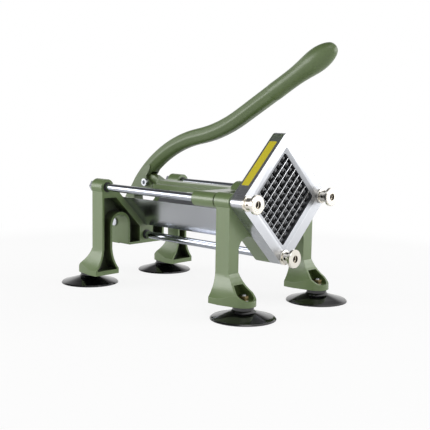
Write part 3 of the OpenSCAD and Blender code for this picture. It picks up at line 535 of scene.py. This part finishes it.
def grown(tree, name, values, place, body):
    """Runs a geometry tree with these inputs, keeps the result as a plain mesh and lays it at place."""
    piece = show(name, bpy.data.meshes.new(name))
    maker = piece.modifiers.new("Maker", "NODES")
    maker.node_group = tree
    for identifier, value in values.items():
        maker[identifier] = value
    flattened(piece)
    piece.data.transform(place)
    piece.data.update()
    if not piece.data.polygons:
        raise RuntimeError(f"{name} came out empty")
    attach(piece, body)
    return piece


def end_tree(tree, geometry, finish_name):
    """Ends a geometry tree in plain geometry that has the finish."""
    real = add(tree, "GeometryNodeRealizeInstances", {"Geometry": geometry})
    named = add(tree, "GeometryNodeSetMaterial",
                {"Geometry": real.outputs["Geometry"], "Material": surface(finish_name)})
    tree.interface.new_socket("Geometry", in_out="OUTPUT", socket_type="NodeSocketGeometry")
    add(tree, "NodeGroupOutput", {"Geometry": named.outputs["Geometry"]})


def finger_tree():
    """Square fingers on a grid: each a quad pushed out to a shaft, then to a chamfered tip."""
    tree = bpy.data.node_groups.new("Pusher fingers", "GeometryNodeTree")
    ids = {
        "width": group_input(tree, "Finger Width"),
        "length": group_input(tree, "Finger Length"),
        "chamfer": group_input(tree, "Chamfer"),
        "span": group_input(tree, "Span"),
        "rows": group_input(tree, "Rows", "NodeSocketInt"),
    }
    given = add(tree, "NodeGroupInput").outputs
    width, chamfer = given["Finger Width"], given["Chamfer"]
    base = add(tree, "GeometryNodeMeshGrid",
               {"Size X": width, "Size Y": width, "Vertices X": 2, "Vertices Y": 2})
    shaft_length = worked(tree, "SUBTRACT", given["Finger Length"], chamfer)
    shaft = add(tree, "GeometryNodeExtrudeMesh",
                {"Mesh": base.outputs["Mesh"], "Offset Scale": shaft_length, "Individual": False})
    tip = add(tree, "GeometryNodeExtrudeMesh",
              {"Mesh": shaft.outputs["Mesh"], "Selection": shaft.outputs["Top"], "Offset Scale": chamfer,
               "Individual": False})
    left = worked(tree, "SUBTRACT", width, worked(tree, "MULTIPLY", chamfer, 2.0))
    share = worked(tree, "DIVIDE", left, width)
    pointed = add(tree, "GeometryNodeScaleElements",
                  {"Geometry": tip.outputs["Mesh"], "Selection": tip.outputs["Top"], "Scale": share})
    # The base's underside closes the finger
    back = add(tree, "GeometryNodeFlipFaces", {"Mesh": base.outputs["Mesh"]})
    closed = add(tree, "GeometryNodeJoinGeometry")
    tree.links.new(pointed.outputs["Geometry"], closed.inputs["Geometry"])
    tree.links.new(back.outputs["Mesh"], closed.inputs["Geometry"])
    welded = add(tree, "GeometryNodeMergeByDistance",
                 {"Geometry": closed.outputs["Geometry"], "Distance": FINGER_WELD * MM})
    spots = add(tree, "GeometryNodeMeshGrid",
                {"Size X": given["Span"], "Size Y": given["Span"], "Vertices X": given["Rows"],
                 "Vertices Y": given["Rows"]})
    fingers = add(tree, "GeometryNodeInstanceOnPoints",
                  {"Points": spots.outputs["Mesh"], "Instance": welded.outputs["Geometry"]})
    end_tree(tree, fingers.outputs["Instances"], "pusher")
    return tree, ids


def thread_tree():
    """A thread: a helix along Z with a small four-sided crest swept along it."""
    tree = bpy.data.node_groups.new("Stud thread", "GeometryNodeTree")
    ids = {
        "radius": group_input(tree, "Stud Radius"),
        "length": group_input(tree, "Thread Length"),
        "turns": group_input(tree, "Turns"),
        "crest": group_input(tree, "Crest Height"),
    }
    given = add(tree, "NodeGroupInput").outputs
    helix = add(tree, "GeometryNodeCurveSpiral",
                {"Resolution": 20, "Rotations": given["Turns"], "Start Radius": given["Stud Radius"],
                 "End Radius": given["Stud Radius"], "Height": given["Thread Length"]})
    profile = add(tree, "GeometryNodeCurvePrimitiveCircle",
                  {"Resolution": 4, "Radius": given["Crest Height"]})
    thread = add(tree, "GeometryNodeCurveToMesh",
                 {"Curve": helix.outputs["Curve"], "Profile Curve": profile.outputs["Curve"],
                  "Fill Caps": True})
    end_tree(tree, thread.outputs["Mesh"], "zinc")
    return tree, ids


def thread(name, tree, ids, place, radius, run, sizes, body):
    """One thread of this radius and length on a stud, from place along its Z."""
    values = {ids["radius"]: radius, ids["length"]: run, ids["turns"]: run / sizes.thread_pitch,
              ids["crest"]: sizes.thread_height}
    return grown(tree, name, values, place, body)


def seen_directly(tree):
    """1 for what the camera, gloss or glass sees, and 0 for the light that falls on things."""
    path = add(tree, "ShaderNodeLightPath").outputs
    seen = worked(tree, "MAXIMUM", path["Is Camera Ray"], path["Is Glossy Ray"])
    return worked(tree, "MAXIMUM", seen, path["Is Transmission Ray"])


class FRYCUTTER_OT_stage(bpy.types.Operator):
    """Sets the floor, the soft lamps, the plain surround and the camera at the photograph's place"""

    bl_idname = "fry_cutter.stage"
    bl_label = "Stage"

    def execute(self, context):
        scene = context.scene
        stage = scene.fry_cutter_stage
        self.floor(stage)
        self.surround(scene, stage)
        for name, power, size, place in LAMPS:
            self.lamp(scene, name, getattr(stage, power), size, Vector(place), Vector(LAMP_AIM))
        self.camera(scene)
        return {"FINISHED"}

    def floor(self, stage):
        half = stage.floor_size / 2
        corners = [(-half, -half, 0), (half, -half, 0), (half, half, 0), (-half, half, 0)]
        mesh = bpy.data.meshes.new("floor")
        mesh.from_pydata(corners, [], [(0, 1, 2, 3)])
        floor = bpy.data.objects.new("floor", mesh)
        bpy.context.scene.collection.objects.link(floor)
        # Matt paper: pale, with hardly any gloss, that takes the press's soft shadow
        paper, tree, shader = finish("white_paper", {"Base Color": stage.floor, "Roughness": 0.9})
        place = object_place(tree)
        raised(tree, shader, noise(tree, place, 1 / (3 * MM)), 0.05, 0.1 * MM)
        # Away from the press it is plain white to the eye and in reflections, with no horizon
        reach = add(tree, "ShaderNodeVectorMath", {0: place}, operation="LENGTH").outputs["Value"]
        far = eased(tree, reach, stage.shadow_reach * FADE_FROM, stage.shadow_reach)
        # To the eye the shadow is softened further
        to_eye = add(tree, "ShaderNodeLightPath").outputs["Is Camera Ray"]
        whiteness = worked(tree, "MAXIMUM", far, worked(tree, "MULTIPLY", to_eye, EYE_WHITE))
        plain = worked(tree, "MULTIPLY", whiteness, seen_directly(tree))
        white = add(tree, "ShaderNodeEmission", {"Color": (1, 1, 1, 1), "Strength": 1.0})
        both = add(tree, "ShaderNodeMixShader",
                   {"Fac": plain, 1: shader.outputs["BSDF"], 2: white.outputs["Emission"]})
        add(tree, "ShaderNodeOutputMaterial", {"Surface": both.outputs["Shader"]}, is_active_output=True)
        mesh.materials.append(paper)

    def surround(self, scene, stage):
        world = scene.world or bpy.data.worlds.new("World")
        scene.world = world
        world.use_nodes = True
        tree = world.node_tree
        tree.nodes.clear()
        light = add(tree, "ShaderNodeBackground", {"Color": (1, 1, 1, 1), "Strength": stage.world})
        white = add(tree, "ShaderNodeBackground", {"Color": (1, 1, 1, 1), "Strength": 1.0})
        # Gloss also sees the studio's dark parts: the ceiling towards the rear, the far wall above the
        # white paper and the room behind the camera
        way = add(tree, "ShaderNodeTexCoord").outputs["Generated"]
        screen = 0.0
        for aim, start, end in DARK_PARTS:
            values = {0: way, 1: Vector(aim).normalized()}
            towards = add(tree, "ShaderNodeVectorMath", values, operation="DOT_PRODUCT").outputs["Value"]
            screen = worked(tree, "MAXIMUM", eased(tree, towards, start, end), screen)
        height = add(tree, "ShaderNodeSeparateXYZ", {"Vector": way}).outputs["Z"]
        screen = worked(tree, "MULTIPLY", screen, eased(tree, height, *DARK_ABOVE))
        glossy = add(tree, "ShaderNodeLightPath").outputs["Is Glossy Ray"]
        seen = worked(tree, "MULTIPLY", screen, glossy)
        dark = add(tree, "ShaderNodeBackground", {"Color": (1, 1, 1, 1), "Strength": stage.screen})
        shown = add(tree, "ShaderNodeMixShader",
                    {"Fac": seen, 1: white.outputs["Background"], 2: dark.outputs["Background"]})
        both = add(tree, "ShaderNodeMixShader",
                   {"Fac": seen_directly(tree), 1: light.outputs["Background"], 2: shown.outputs["Shader"]})
        add(tree, "ShaderNodeOutputWorld", {"Surface": both.outputs["Shader"]})

    def lamp(self, scene, name, power, size, place, aim):
        data = bpy.data.lights.new(name, "AREA")
        data.energy = power
        data.shape = "RECTANGLE"
        data.size, data.size_y = size
        lamp = bpy.data.objects.new(name, data)
        scene.collection.objects.link(lamp)
        lamp.location = place
        lamp.rotation_euler = (aim - place).to_track_quat("-Z", "Y").to_euler()

    def camera(self, scene):
        forward = Vector((math.sin(YAW) * math.cos(PITCH), math.cos(YAW) * math.cos(PITCH), -math.sin(PITCH)))
        right = Vector((math.cos(YAW), -math.sin(YAW), 0))
        up = right.cross(forward)
        across = math.cos(ROLL) * right + math.sin(ROLL) * up
        upward = -math.sin(ROLL) * right + math.cos(ROLL) * up
        data = bpy.data.cameras.new("camera")
        data.sensor_width = 36
        data.lens = LENS_PIXELS / IMAGE * data.sensor_width
        data.clip_start, data.clip_end = 0.01, 100
        camera = bpy.data.objects.new("camera", data)
        scene.collection.objects.link(camera)
        turn = Matrix((across, upward, -forward)).transposed().to_4x4()
        camera.matrix_world = Matrix.Translation(CAMERA_PLACE) @ turn
        scene.camera = camera
        scene.view_settings.view_transform = "Standard"


class FRYCUTTER_OT_castings(bpy.types.Operator):
    """Rounds and paints the front and rear castings"""

    bl_idname = "fry_cutter.castings"
    bl_label = "Castings"

    def execute(self, context):
        sizes = context.scene.fry_cutter_sizes
        softened("front_frame", sizes.casting_edge, "paint", "frame")
        softened("rear_frame", sizes.casting_edge, "paint_hollow", "frame")
        return {"FINISHED"}


class FRYCUTTER_OT_carriage(bpy.types.Operator):
    """Rounds and paints the carriage, plates the pusher's screws and gives its bushes their nylon"""

    bl_idname = "fry_cutter.carriage"
    bl_label = "Carriage"

    def execute(self, context):
        sizes = context.scene.fry_cutter_sizes
        softened("carriage", sizes.casting_edge, "paint", "carriage")
        dress(["pusher_screws"], "zinc")
        dress([n for n in NODES if n.startswith("bush_")], "nylon")
        return {"FINISHED"}


class FRYCUTTER_OT_lever(bpy.types.Operator):
    """Paints the lever and plates its pivot bolt"""

    bl_idname = "fry_cutter.lever"
    bl_label = "Lever"

    def execute(self, context):
        lever = show("handle_smooth", as_mesh(welded_copy("handle"), "handle_smooth"), "paint_lever")
        lever.data.set_sharp_from_angle(angle=math.radians(LEVER_SHARP))
        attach(lever, "lever")
        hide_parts("handle")
        dress(["handle_bolt", "handle_nut", "handle_washer", "foot_pin", "pin_spacers", "pin_clips"], "zinc")
        return {"FINISHED"}


class FRYCUTTER_OT_rods(bpy.types.Operator):
    """Plates the rods, dresses their rings and nuts, and cuts the threads that stand out behind"""

    bl_idname = "fry_cutter.rods"
    bl_label = "Rods"

    def execute(self, context):
        sizes = context.scene.fry_cutter_sizes
        dress(["guide_rod_left", "guide_rod_right", "lower_rod"], "chrome")
        dress(["rod_nuts", "rod_washers"], "zinc")
        dress(["rod_ring_left", "rod_ring_right", "rod_ring_lower"], "nylon")
        tree, ids = thread_tree()
        nut_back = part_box("rod_nuts")[1].y
        for side in ("left", "right"):
            low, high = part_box("guide_rod_" + side)
            run = high.y - nut_back - sizes.thread_pitch
            if run > sizes.thread_pitch:
                start = ((low.x + high.x) / 2, nut_back, (low.z + high.z) / 2)
                place = Matrix.Translation(start) @ Matrix.Rotation(-math.pi / 2, 4, "X")
                thread("rod_thread_" + side, tree, ids, place, THREAD_LINE * MM, run, sizes, "frame")
        return {"FINISHED"}


class FRYCUTTER_OT_trough(bpy.types.Operator):
    """Brushes the trough's stainless sheet"""

    bl_idname = "fry_cutter.trough"
    bl_label = "Trough"

    def execute(self, context):
        dress(["trough"], "sheet")
        return {"FINISHED"}


class FRYCUTTER_OT_blade_frame(bpy.types.Operator):
    """Rounds the blade frame's two plates and lays the plain yellow strip on its upper left edge"""

    bl_idname = "fry_cutter.blade_frame"
    bl_label = "Blade frame"

    def execute(self, context):
        sizes = context.scene.fry_cutter_sizes
        front = softened("blade_frame_front", sizes.frame_edge, "aluminium", "frame")
        # The window's bevel and the rounded rim lean away from the flat front, and the flanks stand
        # square to it
        low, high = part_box("blade_frame_front")
        middle, border = (low.z + high.z) / 2, (high.z - low.z) * RIM_FROM

        def outside(face):
            return abs(face.center.x) + abs(face.center.z - middle) > border

        def leaning(face):
            return FLANK_FORWARD < -face.normal.y < FACE_FORWARD

        # Painted shade on the window's bevel
        refaced(front, "bevel", lambda face: leaning(face) and not outside(face))
        refaced(front, "flank", lambda face: abs(face.normal.y) < FLANK_FORWARD and outside(face))
        # Painted shade on the rounded rim
        refaced(front, "rim", lambda face: leaning(face) and outside(face))
        softened("blade_frame_back", sizes.frame_edge, "flank", "frame")
        dress(["blade_frame_screws"], "zinc")
        self.strip(sizes)
        return {"FINISHED"}

    def strip(self, sizes):
        """A thin film with rounded corners on the edge face that looks up to the left."""
        low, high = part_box("blade_frame_front")
        centre_z = (low.z + high.z) / 2
        # The corners are rounded, so the box is smaller than the sharp square would be
        reach = (high.z - low.z) / 2 + (math.sqrt(2) - 1) * FRAME_CORNER * MM
        flank_out = reach / math.sqrt(2)
        form = bmesh.new()
        corner = STRIP_CORNER * MM
        along_half = sizes.strip_length / 2 - corner
        across_half = sizes.strip_width / 2 - corner
        outline = []
        for x_side, y_side, start in ((1, 1, 0), (-1, 1, 90), (-1, -1, 180), (1, -1, 270)):
            for step in range(STRIP_STEPS + 1):
                angle = math.radians(start + 90 / STRIP_STEPS * step)
                outline.append((x_side * along_half + corner * math.cos(angle),
                                y_side * across_half + corner * math.sin(angle)))
        top = [form.verts.new((x, y, STRIP_THICK * MM)) for x, y in outline]
        base = [form.verts.new((x, y, 0)) for x, y in outline]
        form.faces.new(top)
        form.faces.new(base[::-1])
        for i in range(len(top)):
            after = (i + 1) % len(top)
            form.faces.new((top[i], base[i], base[after], top[after]))
        mesh = as_mesh(form, "yellow_strip")
        along = Vector((1, 0, 1)).normalized()
        out = Vector((-1, 0, 1)).normalized()
        side = out.cross(along)
        turn = Matrix((along, side, out)).transposed().to_4x4()
        place = Vector((0, low.y + STRIP_BACK * MM, centre_z)) + out * flank_out + along * STRIP_ALONG * MM
        mesh.transform(Matrix.Translation(place) @ turn)
        piece = show("yellow_strip", mesh, "strip")
        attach(piece, "frame")


class FRYCUTTER_OT_blades(bpy.types.Operator):
    """Gives both layers of blades their ground steel"""

    bl_idname = "fry_cutter.blades"
    bl_label = "Blades"

    def execute(self, context):
        dress(["blades_rising", "blades_falling"], "blade")
        return {"FINISHED"}


class FRYCUTTER_OT_pusher(bpy.types.Operator):
    """Makes the pusher: its plate from the CAD, and a grid of fingers with chamfered tips"""

    bl_idname = "fry_cutter.pusher"
    bl_label = "Pusher"

    def execute(self, context):
        sizes = context.scene.fry_cutter_sizes
        low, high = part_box("pusher_block")
        centre_z = (low.z + high.z) / 2
        plate_front = low.y + sizes.finger_length
        plate = self.plate(plate_front)
        tree, ids = finger_tree()
        values = {ids["width"]: sizes.finger_width, ids["length"]: sizes.finger_length + FINGER_SINK * MM,
                  ids["chamfer"]: sizes.finger_chamfer, ids["rows"]: sizes.finger_rows,
                  ids["span"]: (sizes.finger_rows - 1) * sizes.finger_pitch}
        # The tree's Z points forward here, and the grid stands on its corner
        place = (Matrix.Translation((0, plate_front + FINGER_SINK * MM, centre_z))
                 @ Matrix.Rotation(math.radians(45), 4, "Y") @ Matrix.Rotation(math.pi / 2, 4, "X"))
        fingers = grown(tree, "pusher_fingers", values, place, "carriage")
        # Painted reflection: the tips that face forward get the greyer coat
        refaced(fingers, "pusher_tip", lambda face: face.normal.y < -0.9)
        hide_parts("pusher_block")
        return {"FINISHED"}

    def plate(self, front):
        """The CAD node without its fingers, with the holes they leave closed."""
        form = merged_copy("pusher_block")
        loose = [v for v in form.verts if v.co.y < front - CUT_GAP * MM]
        bmesh.ops.delete(form, geom=loose, context="VERTS")
        bmesh.ops.holes_fill(form, edges=[e for e in form.edges if e.is_boundary], sides=0)
        piece = show("pusher_plate", as_mesh(form, "pusher_plate"), "pusher")
        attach(piece, "carriage")
        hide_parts("pusher_block")
        return piece


class FRYCUTTER_OT_thumb_nuts(bpy.types.Operator):
    """Plates the three thumb nuts"""

    bl_idname = "fry_cutter.thumb_nuts"
    bl_label = "Thumb nuts"

    def execute(self, context):
        dress(["thumb_nut_left", "thumb_nut_right", "thumb_nut_bottom"], "nickel")
        return {"FINISHED"}


class FRYCUTTER_OT_feet(bpy.types.Operator):
    """Dresses the suction cups, their studs, nuts and washers"""

    bl_idname = "fry_cutter.feet"
    bl_label = "Suction cups"

    def execute(self, context):
        dress([n for n in NODES if n.startswith("suction_cup_")], "rubber")
        dress(["cup_studs", "cup_washers"], "zinc")
        dress(["cup_nuts"], "brass")
        return {"FINISHED"}


OPERATORS = (
    FRYCUTTER_OT_castings,
    FRYCUTTER_OT_carriage,
    FRYCUTTER_OT_lever,
    FRYCUTTER_OT_rods,
    FRYCUTTER_OT_trough,
    FRYCUTTER_OT_blade_frame,
    FRYCUTTER_OT_blades,
    FRYCUTTER_OT_pusher,
    FRYCUTTER_OT_thumb_nuts,
    FRYCUTTER_OT_feet,
    FRYCUTTER_OT_stage,
)


class FRYCUTTER_PT_panel(bpy.types.Panel):
    """Sizes, colours and pieces of the press"""

    bl_label = "Fry Cutter"
    bl_idname = "FRYCUTTER_PT_panel"
    bl_space_type = "VIEW_3D"
    bl_region_type = "UI"
    bl_category = "Fry Cutter"

    def draw(self, context):
        for group in (context.scene.fry_cutter_colours, context.scene.fry_cutter_sizes,
                      context.scene.fry_cutter_stage):
            box = self.layout.box()
            for name in group.__annotations__:
                box.prop(group, name)
        for operator in OPERATORS:
            self.layout.operator(operator.bl_idname)


CLASSES = (FryCutterColours, FryCutterSizes, FryCutterStage, *OPERATORS, FRYCUTTER_PT_panel)


def register():
    for made in CLASSES:
        bpy.utils.register_class(made)
    bpy.types.Scene.fry_cutter_colours = PointerProperty(type=FryCutterColours)
    bpy.types.Scene.fry_cutter_sizes = PointerProperty(type=FryCutterSizes)
    bpy.types.Scene.fry_cutter_stage = PointerProperty(type=FryCutterStage)


def unregister():
    del bpy.types.Scene.fry_cutter_stage
    del bpy.types.Scene.fry_cutter_sizes
    del bpy.types.Scene.fry_cutter_colours
    for made in reversed(CLASSES):
        bpy.utils.unregister_class(made)


def main():
    register()
    made = finishes(bpy.context.scene.fry_cutter_colours)
    SURFACES.update({name: material.name for name, material in made.items()})
    for operator in OPERATORS:
        group, name = operator.bl_idname.split(".")
        getattr(getattr(bpy.ops, group), name)()


if __name__ == "__main__":
    main()
